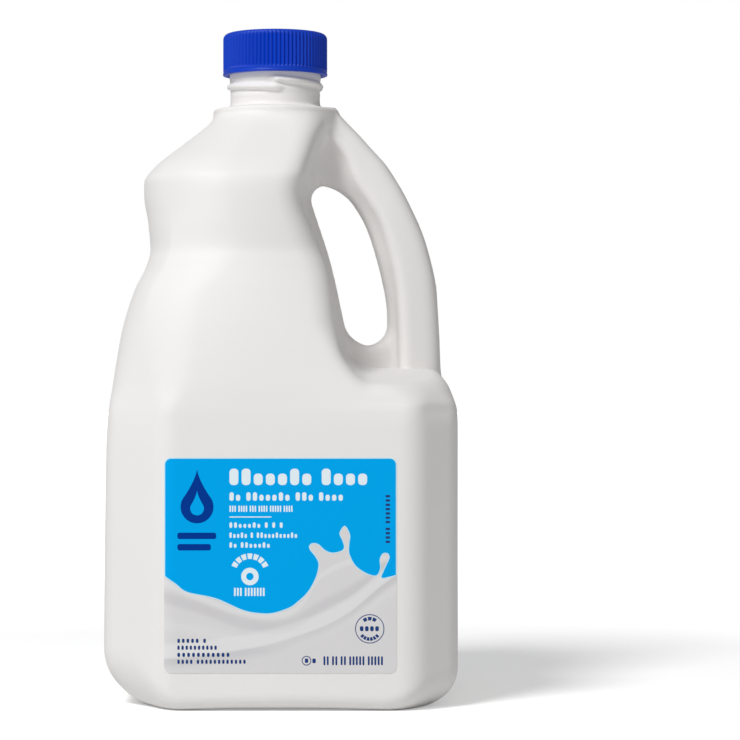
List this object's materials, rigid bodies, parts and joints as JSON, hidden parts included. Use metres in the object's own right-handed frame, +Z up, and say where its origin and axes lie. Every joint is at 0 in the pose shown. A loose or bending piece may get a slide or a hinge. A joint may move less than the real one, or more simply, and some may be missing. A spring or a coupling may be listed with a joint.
{
  "type": "plastic milk jug",
  "caption": "Square blow-moulded milk jug with a waisted upper body, an oval side handle beside a long hand hole, a ribbed screw cap and flat printed labels.",
  "frame": {"origin": "middle of the base's bounding box, on the surface the jug stands on", "axes": "+Z up, the front label faces -Y, the handle is at +X"},
  "size_m": [0.1363, 0.1368, 0.2634],
  "materials": {
    "jug_plastic": "satin opaque white, blow moulded",
    "cap_plastic": "satin blue, injection moulded with fine ribs",
    "label_film": "satin printed film, cyan field over a pale wave"
  },
  "bodies": {
    "root": {"jug_body": "jug_plastic", "cap": "cap_plastic", "label_front": "label_film", "label_back": "label_film"}
  },
  "joints": []
}
